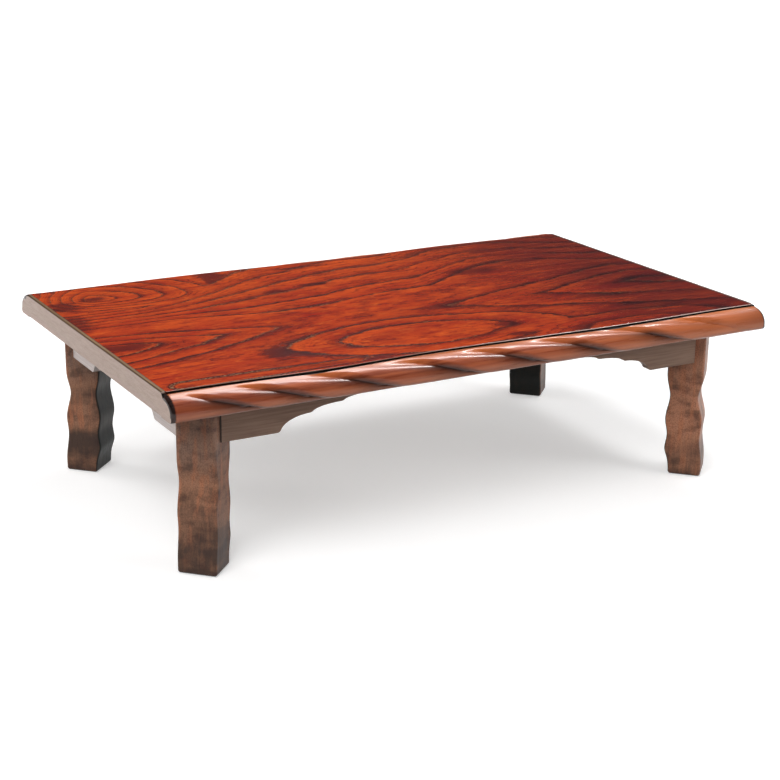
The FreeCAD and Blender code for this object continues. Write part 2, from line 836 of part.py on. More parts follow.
def make_hinge_screws(corner):
    into_top = screws("base_screws_" + corner, base_screw_spots(), Z_AXIS, "Sizes.base_screw_length")
    node(put_at_corner(into_top, corner), "base_screws_" + corner)
    into_leg = screws("leaf_screws_" + corner, leaf_screw_spots(), X_AXIS, "Sizes.leaf_screw_length")
    node(put_at_corner(into_leg, corner), "leaf_screws_" + corner)


def check_and_write():
    """Stop if anything failed to build, then write one file for each sub-part."""
    doc.recompute()
    for item in doc.Objects:
        if "Invalid" in item.State or "Error" in item.State:
            raise RuntimeError(f"{item.Label} failed: {item.State}")
    for part in parts:
        if part.Shape.isNull() or not part.Shape.isValid() or not part.Shape.Solids:
            raise RuntimeError(part.Label + " has no valid shape")
    os.makedirs("parts", exist_ok=True)
    for part in parts:
        part.Shape.exportStep(f"parts/{part.Label}.step")
        print(part.Label, len(part.Shape.Solids), round(part.Shape.Volume))


make_top_veneer()
make_core_frame()
make_underside_panel()
make_mouldings()
make_end_rails()
make_aprons()
make_glue_blocks()
for corner in CORNERS:
    make_leg(corner)
    make_foot_pad(corner)
    make_hinge_base(corner)
    make_hinge_leaf(corner)
    make_hinge_pin(corner)
    make_hinge_washers(corner)
    make_hinge_screws(corner)
check_and_write()
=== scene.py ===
import math

import bmesh
import bpy
from mathutils import Matrix, Vector


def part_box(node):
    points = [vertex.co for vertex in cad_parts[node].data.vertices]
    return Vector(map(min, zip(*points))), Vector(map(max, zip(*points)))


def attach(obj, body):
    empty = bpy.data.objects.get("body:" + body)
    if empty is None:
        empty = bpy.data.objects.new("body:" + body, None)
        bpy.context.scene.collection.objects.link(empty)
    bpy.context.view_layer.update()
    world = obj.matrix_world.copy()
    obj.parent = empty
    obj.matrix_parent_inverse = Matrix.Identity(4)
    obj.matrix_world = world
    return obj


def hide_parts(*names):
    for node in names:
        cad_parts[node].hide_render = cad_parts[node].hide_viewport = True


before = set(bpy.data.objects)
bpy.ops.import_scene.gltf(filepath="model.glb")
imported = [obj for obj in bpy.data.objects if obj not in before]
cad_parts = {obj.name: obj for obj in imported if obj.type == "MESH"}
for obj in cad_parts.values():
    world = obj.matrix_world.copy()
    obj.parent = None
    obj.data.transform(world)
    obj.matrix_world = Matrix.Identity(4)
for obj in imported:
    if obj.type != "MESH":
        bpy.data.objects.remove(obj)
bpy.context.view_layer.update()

# Low table seen from its front left corner. Metres; +X runs along the length and the front is at -Y.

TABLE_HALF_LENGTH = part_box("front_moulding")[1].x
MOULDING_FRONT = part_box("front_moulding")[0].y
MOULDING_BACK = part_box("front_moulding")[1].y
EDGE_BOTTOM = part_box("front_moulding")[0].z
NOSE_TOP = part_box("front_moulding")[1].z
TABLE_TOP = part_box("top_veneer")[1].z
FACE_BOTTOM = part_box("top_veneer")[0].z
FACE_HALF_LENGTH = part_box("top_veneer")[1].x
GROOVE_WIDTH = 0.006
GROOVE_DEPTH = 0.004
NOSE_DEPTH = 0.035
NOSE_RISE = 0.0265
NOSE_ROUND = 0.010
END_ROUND = 0.008
BELLY_HEIGHT = 0.024
# Painted shade in the carved valleys, which the moulding's mesh carries at each corner.
VALLEY_SHADE_ATTRIBUTE = "hollow"  # the value that a moulding's mesh carries for its finish


# Nodes of a finish

NOISE_LOW, NOISE_HIGH = 0.3, 0.7


def srgb(red, green, blue):
    """A colour given as screen values from 0 to 255, as the linear colour that a shader takes."""
    def linear(value):
        share = value / 255
        return share / 12.92 if share <= 0.04045 else ((share + 0.055) / 1.055) ** 2.4
    return (linear(red), linear(green), linear(blue), 1.0)


class Finish:
    """A material and short calls for the nodes that it is made of."""

    def __init__(self, name, **constants):
        self.material = bpy.data.materials.new(name)
        self.material.use_nodes = True
        self.tree = self.material.node_tree
        self.shader = self.tree.nodes["Principled BSDF"]
        for socket, value in constants.items():
            self.shader.inputs[socket.replace("_", " ")].default_value = value
        self.coordinates = self.tree.nodes.new("ShaderNodeTexCoord")
        self.place = self.coordinates.outputs["Object"]
        split = self.tree.nodes.new("ShaderNodeSeparateXYZ")
        self.link(self.place, split.inputs[0])
        self.x, self.y, self.z = split.outputs

    def upward(self):
        """How far the surface faces up: 1 on top, 0 on an upright side."""
        split = self.tree.nodes.new("ShaderNodeSeparateXYZ")
        self.link(self.tree.nodes.new("ShaderNodeNewGeometry").outputs["Normal"], split.inputs[0])
        return split.outputs[2]

    def inward(self):
        """How far the surface of a corner piece faces the middle of the table."""
        split = self.tree.nodes.new("ShaderNodeSeparateXYZ")
        self.link(self.coordinates.outputs["Normal"], split.inputs[0])
        along = self.times(split.outputs[0], self.math("SIGN", self.x))
        across = self.times(split.outputs[1], self.math("SIGN", self.y))
        return self.times(self.add(along, across), -math.sqrt(0.5))

    def measured(self, name):
        """A value that the mesh carries at each of its corners."""
        node = self.tree.nodes.new("ShaderNodeAttribute")
        node.attribute_name = name
        return node.outputs["Fac"]

    def link(self, value, socket):
        """Join a node's output to a socket, or set the socket to a plain value."""
        if isinstance(value, bpy.types.NodeSocket):
            self.tree.links.new(value, socket)
        else:
            socket.default_value = value

    def math(self, operation, *values):
        node = self.tree.nodes.new("ShaderNodeMath")
        node.operation = operation
        for socket, value in zip(node.inputs, values):
            self.link(value, socket)
        return node.outputs[0]

    def add(self, *values):
        total = values[0]
        for value in values[1:]:
            total = self.math("ADD", total, value)
        return total

    def times(self, *values):
        product = values[0]
        for value in values[1:]:
            product = self.math("MULTIPLY", product, value)
        return product

    def ramp(self, value, start, end, low=0.0, high=1.0):
        """A smooth step from low at start to high at end."""
        node = self.tree.nodes.new("ShaderNodeMapRange")
        node.interpolation_type = "SMOOTHSTEP"
        for socket, item in zip(node.inputs, (value, start, end, low, high)):
            self.link(item, socket)
        return node.outputs[0]

    def noise(self, sizes, detail=2.0, roughness=0.5, distortion=0.0, offset=(0, 0, 0)):
        """Noise about 0.5, whose blots measure sizes metres along x, y and z."""
        scaled = self.tree.nodes.new("ShaderNodeMapping")
        scaled.inputs["Location"].default_value = offset
        scaled.inputs["Scale"].default_value = [1 / size for size in sizes]
        self.link(self.place, scaled.inputs["Vector"])
        node = self.tree.nodes.new("ShaderNodeTexNoise")
        node.inputs["Scale"].default_value = 1.0
        node.inputs["Detail"].default_value = detail
        node.inputs["Roughness"].default_value = roughness
        node.inputs["Distortion"].default_value = distortion
        self.link(scaled.outputs[0], node.inputs["Vector"])
        return node.outputs[0]

    def wander(self, sizes, amount, **settings):
        """Noise that swings about zero by roughly the amount."""
        return self.math("MULTIPLY_ADD", self.noise(sizes, **settings), 4 * amount, -2 * amount)

    def spread(self, noise, low=0.0, high=1.0):
        """Noise stretched from its usual range to run from low to high."""
        return self.ramp(noise, NOISE_LOW, NOISE_HIGH, low, high)

    def mix(self, share, first, second):
        """A colour that is first where the share is 0 and second where it is 1."""
        node = self.tree.nodes.new("ShaderNodeMix")
        node.data_type = "RGBA"
        for index, item in zip((0, 6, 7), (share, first, second)):
            self.link(item, node.inputs[index])
        return node.outputs[2]

    def bump(self, height, depth):
        """Relief of the surface, depth metres between height 0 and height 1."""
        node = self.tree.nodes.new("ShaderNodeBump")
        node.inputs["Distance"].default_value = depth
        self.link(height, node.inputs["Height"])
        self.link(node.outputs[0], self.shader.inputs["Normal"])

    def colour(self, value):
        self.link(value, self.shader.inputs["Base Color"])

    def roughness(self, value):
        self.link(value, self.shader.inputs["Roughness"])


# Zelkova face of the top: growth rings round a few eyes, and lines that sweep across the back half.

# Each eye: centre x and y, turn in degrees, ring spacing to the right, left, back and front, roundness,
# count of rings at the centre, and the count at its outermost ring.
BACK_EYE = (-0.500, 0.243, -8, 0.047, 0.021, 0.033, 0.016, 1.9, 0.15, 0)
FRONT_EYES = (
    (-0.600, -0.080, 0, 0.106, 0.110, 0.027, 0.041, 1.25, 0.0, 3),
    (-0.053, -0.228, -3, 0.108, 0.102, 0.039, 0.042, 1.7, -0.6, 2),
    (0.627, -0.087, 0, 0.190, 0.203, 0.051, 0.071, 1.15, 0.2, 3),
    (0.327, -0.347, 0, 0.105, 0.120, 0.043, 0.043, 2.0, 0.0, 2),
    (-0.555, -0.319, 0, 0.325, 0.021, 0.020, 0.015, 2.0, 0.0, 1),
)
LOOP_EYE = FRONT_EYES[-1]
EYE_CORE = 0.5
EYE_BLEND = 0.8
SWEEP_LINES = 5.5
SWEEP_BLEND = 0.3
BETWEEN_EYES = 0.55
BETWEEN_BLEND = 0.5

# Dark blots of the grain: centre x and y, half length and half width.
GRAIN_BLOTS = (
    (-0.237, 0.318, 0.032, 0.050),
    (-0.570, 0.215, 0.034, 0.045),
    (-0.590, 0.100, 0.040, 0.060),
    (-0.173, 0.146, 0.030, 0.012),
    (-0.080, 0.166, 0.034, 0.012),
    (-0.040, 0.300, 0.060, 0.010),
    (0.390, 0.250, 0.070, 0.014),
    (0.400, 0.145, 0.060, 0.012),
    (0.250, 0.118, 0.070, 0.026),
    (-0.565, -0.078, 0.065, 0.028),
    (-0.345, -0.222, 0.032, 0.042),
    (0.100, -0.246, 0.026, 0.018),
    (-0.503, 0.243, 0.034, 0.020),
    (-0.250, 0.275, 0.014, 0.030),
    (0.090, -0.304, 0.032, 0.012),
    (0.560, -0.075, 0.080, 0.040),
)


def grain_eye(f, x, y, turn, right, left, back, front, roundness, first, rings):
    """Rings counted outwards from one eye, its outermost ring at zero."""
    cos, sin = math.cos(math.radians(turn)), math.sin(math.radians(turn))
    along = f.add(f.times(f.x, cos), f.times(f.y, sin), -x * cos - y * sin)
    across = f.add(f.times(f.x, -sin), f.times(f.y, cos), x * sin - y * cos)
    along = f.math("MAXIMUM", f.times(along, 1 / right), f.times(along, -1 / left))
    across = f.math("MAXIMUM", f.times(across, 1 / back), f.times(across, -1 / front))
    summed = f.add(f.math("POWER", along, roundness), f.math("POWER", across, roundness))
    count = f.math("MAXIMUM", f.add(f.math("POWER", summed, 1 / roundness), first), EYE_CORE)
    return f.add(count, -rings)


def grain_rings(f):
    """Rings counted over the whole face. A line of the grain runs wherever the count is whole."""
    base = f.add(f.ramp(f.x, -0.45, -0.21, 0.053, 0.013), f.ramp(f.x, -0.17, 0.06, 0.0, 0.048),
                 f.ramp(f.x, 0.08, 0.34, 0.0, 0.100), f.ramp(f.x, 0.38, 0.60, 0.0, -0.080))
    spacing = f.add(f.ramp(f.x, -0.46, -0.12, 0.019, 0.064), f.ramp(f.x, 0.0, 0.4, 0.0, -0.010))
    sweep = f.math("MINIMUM", f.math("DIVIDE", f.math("SUBTRACT", f.y, base), spacing), SWEEP_LINES)
    sweep = f.math("SMOOTH_MIN", sweep, grain_eye(f, *BACK_EYE), EYE_BLEND)
    eyes = grain_eye(f, *FRONT_EYES[0])
    for eye in FRONT_EYES[1:]:
        eyes = f.math("SMOOTH_MIN", eyes, grain_eye(f, *eye), EYE_BLEND)
    eyes = f.add(f.math("SMOOTH_MIN", eyes, BETWEEN_EYES, BETWEEN_BLEND), -1)
    return f.math("SMOOTH_MAX", sweep, eyes, SWEEP_BLEND)


def grain_blots(f):
    """1 in the dark blots of the grain, which have ragged edges."""
    ragged = f.wander((0.03, 0.010, 1), 0.3, detail=4.0, offset=(9, 4, 0))
    blots = 0.0
    for x, y, length, width in GRAIN_BLOTS:
        along = f.times(f.add(f.x, -x), 1 / length)
        across = f.times(f.add(f.y, -y), 1 / width)
        away = f.math("SQRT", f.add(f.times(along, along), f.times(across, across)))
        blots = f.math("MAXIMUM", blots, f.ramp(f.add(away, ragged), 0.4, 1.2, 1.0, 0.0))
    return blots


def growth_rings(f):
    """The count of rings, unsettled a little at four scales."""
    return f.add(grain_rings(f), f.wander((0.22, 0.08, 1), 0.16), f.wander((0.06, 0.022, 1), 0.07),
                 f.wander((0.018, 0.006, 1), 0.045), f.wander((0.007, 0.0025, 1), 0.02))


def growth_lines(f, year, blots):
    """The sharp dark end of each year, and all of the line with the soft dark start of the next year."""
    width = f.ramp(f.noise((0.18, 0.07, 1), offset=(3, 1, 0)), 0.25, 0.75, 0.6, 2.2)
    late = f.math("DIVIDE", f.math("SUBTRACT", 1.0, year), f.times(width, 0.045))
    late = f.math("EXPONENT", f.times(late, late, -1))
    early = f.times(width, f.add(f.times(blots, 1.5), 1.0), 0.13)
    early = f.math("POWER", f.math("DIVIDE", year, early), 1.2)
    early = f.times(f.math("EXPONENT", f.times(early, -1)), 0.95)
    strength = f.ramp(f.noise((0.25, 0.09, 1), offset=(0, 5, 2)), 0.3, 0.6, 0.7, 1.15)
    strength = f.times(strength, f.ramp(f.y, 0.12, 0.30, 1.0, 0.78))
    return late, f.math("MINIMUM", f.times(f.add(late, early), strength), 1.0)


def lines_within(f, rings, per_year, unsettled, start, patches):
    """Finer lines between the rings, several to a year, that show in patches."""
    share = f.math("FRACT", f.add(f.times(rings, per_year), unsettled))
    return f.times(f.ramp(share, start, 1.0), patches)


def zelkova_ground(f, year, blots):
    """Red and orange wood under the lines, with fine streaks, glints, dark mottling and blots."""
    tone = f.add(f.wander((0.12, 0.045, 1), 0.35, offset=(7, 0, 1)), f.times(year, 0.50),
                 f.ramp(f.y, 0.05, 0.30, 0.32, 0.56))
    wood = f.mix(tone, srgb(154, 31, 22), srgb(208, 81, 28))
    fine = f.noise((0.05, 0.010, 1), detail=5.0, roughness=0.7, offset=(0, 9, 0))
    wood = f.mix(f.ramp(fine, 0.46, 0.66, 0.0, 0.7), wood, srgb(120, 28, 24))
    glints = f.noise((0.03, 0.009, 1), detail=5.0, roughness=0.7, offset=(3, 2, 0))
    wood = f.mix(f.ramp(glints, 0.52, 0.68, 0.0, 0.5), wood, srgb(224, 104, 40))
    mottle = f.noise((0.045, 0.022, 1), detail=4.0, roughness=0.6, offset=(4, 7, 0))
    mottle = f.times(f.ramp(mottle, 0.50, 0.64),
                     f.ramp(f.math("ABSOLUTE", f.add(f.x, 0.05)), 0.15, 0.35, 0.55, 0.0),
                     f.ramp(f.math("ABSOLUTE", f.add(f.y, 0.03)), 0.04, 0.11, 1.0, 0.0))
    wood = f.mix(mottle, wood, srgb(116, 32, 26))
    return f.mix(f.times(blots, 0.75), wood, srgb(92, 26, 26))


def worn_loop(f, wood, flecks):
    """A loop of dark grain at the front left, with its middle rubbed to khaki."""
    loop = f.add(grain_eye(f, *LOOP_EYE), f.wander((0.03, 0.008, 1), 0.10, offset=(7, 7, 0)))
    loop = f.math("ABSOLUTE", loop)
    dark = f.times(f.ramp(loop, 0.16, 0.40, 0.75, 0.0), f.ramp(f.x, -0.38, -0.20, 1.0, 0.0))
    wood = f.mix(dark, wood, srgb(66, 20, 20))
    rubbed = f.times(f.ramp(loop, 0.10, 0.24, 1.0, 0.0), flecks, f.ramp(f.x, -0.46, -0.32, 1.0, 0.0))
    return f.mix(rubbed, wood, srgb(148, 110, 78))


def zelkova_top():
    """Red lacquered veneer, darker to the right, with a painted highlight along its rounded arris and black
    upright edges that are partly a dark edge and partly painted shade in the groove.
    """
    f = Finish("zelkova_veneer", Specular_IOR_Level=0.2, Coat_Weight=0.12, Coat_Roughness=0.05)
    blots = grain_blots(f)
    rings = growth_rings(f)
    year = f.math("FRACT", rings)
    late, lines = growth_lines(f, year, blots)
    wood = zelkova_ground(f, year, blots)
    right = f.ramp(f.add(f.x, f.wander((0.2, 0.05, 1), 0.10, offset=(1, 4, 0))), 0.04, 0.54, 0.0, 0.84)
    streaks = f.noise((0.14, 0.009, 1), detail=4.0, offset=(2, 2, 0))
    right = f.times(right, f.ramp(streaks, 0.36, 0.62, 1.0, 0.78))
    wood = f.mix(right, wood, srgb(78, 18, 26))
    ripple = lines_within(f, rings, 4, f.wander((0.07, 0.02, 1), 0.3, offset=(6, 3, 0)), 0.55,
                          f.ramp(f.noise((0.10, 0.03, 1), offset=(8, 1, 0)), 0.40, 0.62, 0.1, 0.75))
    wood = f.mix(ripple, wood, srgb(108, 30, 22))
    hairs = lines_within(f, rings, 11, f.wander((0.05, 0.012, 1), 0.4, offset=(1, 6, 0)), 0.6,
                         f.ramp(f.noise((0.14, 0.04, 1), offset=(5, 2, 0)), 0.38, 0.62, 0.0, 0.55))
    wood = f.mix(hairs, wood, f.mix(right, srgb(112, 32, 24), srgb(54, 15, 19)))
    wood = f.mix(lines, wood, f.mix(right, srgb(64, 17, 19), srgb(34, 10, 15)))
    pores = f.ramp(f.noise((0.012, 0.0009, 1), detail=1.0), 0.58, 0.78, 0.0, 0.5)
    wood = f.mix(pores, wood, srgb(84, 21, 22))
    flecks = f.ramp(f.noise((0.0045, 0.0022, 1), detail=1.0, offset=(5, 5, 0)), 0.46, 0.58, 0.0, 0.8)
    worn = f.times(f.ramp(f.noise((0.16, 0.06, 1), offset=(2, 8, 0)), 0.40, 0.56),
                   f.ramp(f.x, -0.2, 0.3, 1.0, 0.35))
    wood = f.mix(f.times(f.ramp(late, 0.35, 0.8), flecks, worn), wood, srgb(158, 106, 70))
    wood = worn_loop(f, wood, flecks)
    up = f.upward()
    # Painted highlight along the rounded arris, dull brown at the left and pale at the right.
    arris_highlight = f.mix(f.ramp(f.x, -0.25, 0.20), srgb(98, 66, 50), srgb(202, 182, 174))
    wood = f.mix(f.ramp(up, 0.90, 0.99, 1.0, 0.0), wood, arris_highlight)
    # Upright edges nearly black: partly a dark edge and partly painted shade in the groove.
    wood = f.mix(f.ramp(up, 0.10, 0.40, 1.0, 0.0), wood, srgb(16, 12, 11))
    f.colour(wood)
    f.roughness(f.ramp(lines, 0.0, 1.0, 0.10, 0.15))
    f.bump(f.times(lines, -1), 0.00004)
    return f.material


def end_face(f):
    """Colour of the flat ends of the top, fine grain under lacquer, pale partly by its own tone and partly
    by painted light from the left.
    """
    grain = f.noise((0.004, 0.03, 0.004), detail=3.0)
    speck = f.noise((0.0016, 0.0022, 0.0016), detail=1.0)
    tone = f.spread(f.add(f.times(grain, 0.4), f.times(speck, 0.6)))
    return f.mix(tone, srgb(163, 143, 132), srgb(187, 168, 158))


def carved_edge():
    """Brown lacquer of the mouldings, paler to the right, with painted light on the upper nose, a painted
    floor reflection that makes it paler below, a band of painted shade round its middle, painted shade in
    the carved valleys, and black ends that are a painted dark reflection.
    """
    f = Finish("carved_edge", Specular_IOR_Level=0.25, Specular_Tint=(1.0, 0.84, 0.84, 1.0),
               Coat_Weight=0.22, Coat_Roughness=0.12)
    streaks = f.noise((0.16, 0.006, 0.006), detail=3.0)
    tone = f.ramp(f.add(streaks, f.wander((0.3, 0.03, 0.03), 0.12, offset=(2, 0, 0))), 0.22, 0.78)
    wood = f.mix(tone, srgb(119, 54, 36), srgb(166, 87, 54))
    dark = f.ramp(f.noise((0.06, 0.0015, 0.0015), detail=2.0, offset=(0, 3, 0)), 0.55, 0.75, 0.0, 0.2)
    wood = f.mix(dark, wood, srgb(70, 30, 18))
    wood = f.mix(f.ramp(f.x, 0.0, 0.5, 0.0, 0.55), wood, srgb(196, 110, 64))
    wood = f.mix(f.ramp(f.x, 0.50, 0.60, 0.0, 0.45), wood, srgb(116, 62, 40))
    # Painted light: the upper nose by the groove, which faces up to the lamps, is mixed towards bright
    # orange.
    forward = f.add(f.math("ABSOLUTE", f.y), MOULDING_FRONT)
    nose = f.ramp(forward, 0.002 - NOSE_DEPTH, -0.012)
    wood = f.mix(nose, f.mix(0.45, wood, srgb(206, 112, 40)), wood)
    height = f.add(f.z, -EDGE_BOTTOM)
    # Painted reflection of the pale floor: paler towards the underside.
    wood = f.mix(f.ramp(height, 0.006, 0.020, 0.40, 0.0), wood, srgb(196, 130, 96))
    # Painted shade: a darker band round the middle of the nose, stronger at the left.
    belly_shade = f.ramp(f.math("ABSOLUTE", f.add(height, -BELLY_HEIGHT)), 0.002, 0.010, 0.30, 0.0)
    wood = f.mix(f.times(belly_shade, f.ramp(f.x, -0.55, 0.0, 1.0, 0.25)), wood, srgb(74, 28, 18))
    # Painted shade in the carved valleys, where the lobes above would shade them.
    wood = f.mix(f.measured(VALLEY_SHADE_ATTRIBUTE), wood, srgb(34, 15, 10))
    # Painted dark reflection: the rounded ends of the moulding are nearly black.
    from_end = f.math("SUBTRACT", TABLE_HALF_LENGTH, f.math("ABSOLUTE", f.x))
    wood = f.mix(f.ramp(from_end, 0.0055, 0.0085, 0.97, 0.0), wood, srgb(12, 11, 11))
    f.colour(wood)
    f.roughness(f.spread(streaks, 0.26, 0.34))
    f.bump(streaks, 0.0001)
    return f.material


def groove_black_and_shade():
    """Black in the groove: partly dark lacquer and partly painted shade of its depth."""
    f = Finish("groove_black_and_shade", Specular_IOR_Level=0.2)
    cloud = f.noise((0.03, 0.004, 0.004), detail=2.0)
    f.colour(f.mix(cloud, srgb(9, 7, 7), srgb(19, 15, 13)))
    f.roughness(f.spread(cloud, 0.35, 0.5))
    return f.material


def end_edge():
    """Pale ends of the top, partly painted light, with a thin lip between two dark seams along the upper
    arris, its tan at the left end a painted reflection.
    """
    f = Finish("end_edge", Specular_IOR_Level=0.15)
    grain = f.noise((0.006, 0.12, 0.006), detail=3.0, offset=(0, 3, 0))
    lip = f.mix(f.spread(grain), srgb(104, 78, 50), srgb(134, 104, 70))
    # The lip's tan at the left end is a painted reflection; at the right end the lip is dark.
    lip = f.mix(f.ramp(f.x, -0.1, 0.1), lip, srgb(74, 36, 28))
    up = f.upward()
    wood = f.mix(f.ramp(up, 0.55, 0.85), end_face(f), lip)
    reach = f.math("ABSOLUTE", f.x)
    inner = f.ramp(reach, FACE_HALF_LENGTH + 0.0008, FACE_HALF_LENGTH + 0.0022, 1.0, 0.0)
    outer = f.ramp(reach, TABLE_HALF_LENGTH - 0.0030, TABLE_HALF_LENGTH - 0.0022)
    seams = f.times(f.math("MAXIMUM", inner, f.times(outer, f.ramp(up, 0.3, 0.6))),
                    f.ramp(f.z, TABLE_TOP - 0.003, TABLE_TOP - 0.002), 0.8)
    wood = f.mix(seams, wood, srgb(52, 36, 24))
    f.colour(wood)
    f.roughness(f.spread(grain, 0.5, 0.62))
    f.bump(grain, 0.00008)
    return f.material


def apron_wood(name, pale, deep, gap_shade_end=None):
    """Streaked wood of an apron; the last argument is the half length of one whose left end, beside the leg,
    is nearly black with painted shade of the gap there.
    """
    f = Finish(name, Specular_IOR_Level=0.15)
    along = f.noise((0.10, 0.10, 0.004), detail=3.0)
    tone = f.spread(f.add(along, f.wander((0.4, 0.4, 0.05), 0.10, offset=(1, 2, 3))))
    wood = f.mix(tone, deep, pale)
    pores = f.ramp(f.noise((0.02, 0.02, 0.0012), detail=1.0), 0.58, 0.75, 0.0, 0.35)
    wood = f.mix(pores, wood, deep)
    if gap_shade_end:
        # Painted shade of the gap beside the leg: the last few millimetres of the left end nearly black.
        gap_shade = f.ramp(f.x, 0.0018 - gap_shade_end, 0.0032 - gap_shade_end, 0.9, 0.0)
        wood = f.mix(gap_shade, wood, srgb(18, 15, 13))
    f.colour(wood)
    f.roughness(f.spread(along, 0.42, 0.56))
    f.bump(along, 0.0001)
    return f.material


LEG_WAVE_LENGTH = 0.08
LEG_WAVE_START = 0.158


def leg_wood():
    """Mottled brown of the legs, darker at the foot, warmest on the front right leg, with painted light and
    shade in step with the waves, and painted shade that makes the faces turned to the table's middle nearly
    black.
    """
    f = Finish("leg_wood", Specular_IOR_Level=0.18)
    streaks = f.noise((0.004, 0.004, 0.12), detail=3.0, distortion=0.2)
    blots = f.noise((0.09, 0.09, 0.045), detail=3.0, roughness=0.55, offset=(4, 1, 0))
    height = f.add(f.ramp(f.z, 0.0, 0.15, -0.18, 0.10), f.ramp(f.z, 0.18, 0.25, 0.0, 0.04))
    front_right = f.times(f.ramp(f.x, 0.0, 0.1), f.ramp(f.y, 0.0, 0.1, 0.27, 0.0),
                          f.ramp(f.z, 0.02, 0.11, 0.2, 1.15))
    # Tone that rises and falls with the leg's waves: painted light and shade of the wavy faces, partly a
    # darker finish in the hollows.
    turn = 2 * math.pi / LEG_WAVE_LENGTH
    wave_light_and_shade = f.times(f.math("SINE", f.math("MULTIPLY_ADD", f.z, turn, -turn * LEG_WAVE_START)), 0.08)
    tone = f.ramp(f.add(f.times(streaks, 0.2), f.times(blots, 0.8), height, front_right, wave_light_and_shade), 0.28, 0.70)
    wood = f.mix(tone, srgb(78, 60, 51), srgb(162, 117, 92))
    wood = f.mix(f.ramp(f.z, 0.16, 0.25, 0.0, 0.5), wood, srgb(158, 131, 117))
    wood = f.mix(f.times(front_right, 2.2), wood, srgb(200, 138, 108))
    mottle = f.noise((0.040, 0.040, 0.024), detail=5.0, roughness=0.6, offset=(2, 5, 1))
    wood = f.mix(f.ramp(mottle, 0.44, 0.70, 0.0, 0.68), wood, srgb(60, 44, 40))
    glow = f.noise((0.013, 0.013, 0.09), detail=4.0, roughness=0.6, offset=(6, 2, 4))
    wood = f.mix(f.times(f.ramp(glow, 0.46, 0.64, 0.0, 0.6), tone), wood, srgb(192, 122, 88))
    speck = f.noise((0.0022, 0.0022, 0.0022), detail=1.0)
    wood = f.mix(f.ramp(speck, 0.40, 0.70, 0.0, 0.35), wood, srgb(62, 46, 42))
    pores = f.ramp(f.noise((0.0012, 0.0012, 0.02), detail=1.0), 0.56, 0.76, 0.0, 0.35)
    wood = f.mix(pores, wood, srgb(48, 34, 28))
    # Painted shade: the faces turned to the middle of the table, under it, are made nearly black.
    f.colour(f.mix(f.ramp(f.inward(), 0.5, 0.8, 0.0, 0.95), wood, srgb(14, 23, 22)))
    f.roughness(f.spread(streaks, 0.36, 0.48))
    f.bump(streaks, 0.0001)
    return f.material


def plain_wood(name, pale, deep, sizes):
    """Bare wood of the pieces inside and below."""
    f = Finish(name, Specular_IOR_Level=0.3)
    grain = f.noise(sizes, detail=3.0, distortion=0.4)
    f.colour(f.mix(f.spread(grain), deep, pale))
    f.roughness(f.spread(grain, 0.55, 0.7))
    f.bump(grain, 0.0003)
    return f.material


def metal(name, pale, deep, size):
    """Clouded steel, in clouds of the given size."""
    f = Finish(name, Metallic=1.0)
    cloud = f.noise((size, size, size), detail=4.0, roughness=0.6)
    f.colour(f.mix(f.spread(cloud), deep, pale))
    f.roughness(f.spread(cloud, 0.28, 0.46))
    f.bump(cloud, 0.00005)
    return f.material


def felt():
    """Brown felt under the feet."""
    f = Finish("felt", Specular_IOR_Level=0.1, Sheen_Weight=0.3)
    fibres = f.noise((0.0015, 0.0015, 0.0015), detail=4.0)
    f.colour(f.mix(fibres, srgb(38, 32, 28), srgb(84, 72, 62)))
    f.roughness(f.spread(fibres, 0.85, 1.0))
    f.bump(fibres, 0.0005)
    return f.material


LONG_APRON = apron_wood("apron_wood", srgb(158, 131, 114), srgb(133, 108, 94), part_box("front_apron")[1].x)
# Painted light: the short aprons are the long aprons' wood made nearly white for the light that falls on the
# table's ends.
SHORT_APRON_PAINTED_LIGHT = apron_wood("short_apron_painted_light", srgb(226, 214, 210), srgb(204, 191, 186))
CORE_WOOD = plain_wood("core_wood", srgb(206, 178, 138), srgb(172, 138, 98), (0.08, 0.02, 0.008))

# The finish for each word in the names of the CAD nodes, and the one of the groove.
FINISHES = {
    "top_veneer": zelkova_top(),
    "moulding": carved_edge(),
    "groove": groove_black_and_shade(),
    "end_rail": end_edge(),
    "front_apron": LONG_APRON,
    "back_apron": LONG_APRON,
    "left_apron": SHORT_APRON_PAINTED_LIGHT,
    "right_apron": SHORT_APRON_PAINTED_LIGHT,
    "apron_blocks": plain_wood("block_wood", srgb(176, 140, 104), srgb(142, 106, 74), (0.05, 0.05, 0.006)),
    "core_rail": CORE_WOOD,
    "hinge_rail": CORE_WOOD,
    "cross_rail": CORE_WOOD,
    "underside_panel": plain_wood("plywood", srgb(168, 128, 94), srgb(128, 90, 62), (0.18, 0.012, 0.2)),
    "leg": leg_wood(),
    "hinge": metal("hinge_steel", srgb(176, 172, 164), srgb(128, 124, 118), 0.012),
    "screws": metal("screw_steel", srgb(188, 176, 140), srgb(138, 124, 92), 0.004),
    "foot_pad": felt(),
}


def finish_for(name):
    """The finish of a CAD node, by the longest of the words in its name."""
    words = [word for word in FINISHES if word in name]
    return FINISHES[max(words, key=len)]


for node_name, node_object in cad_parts.items():
    node_object.data.materials.clear()
    node_object.data.materials.append(finish_for(node_name))


# Carved mouldings: a bullnose along the front and back with slanting lobes between shallow valleys.

CARVE_DEPTH = 0.0062
CARVE_SLOPE = math.radians(22)
STEEP_SHARE, STEEP_POWER = 0.2, 1.4
HOLLOW_SHARE, HOLLOW_POWER = 0.6, 1.7
VALLEYS = (-0.690, -0.509, -0.400, -0.264, -0.098, 0.042, 0.186, 0.346, 0.490, 0.640)

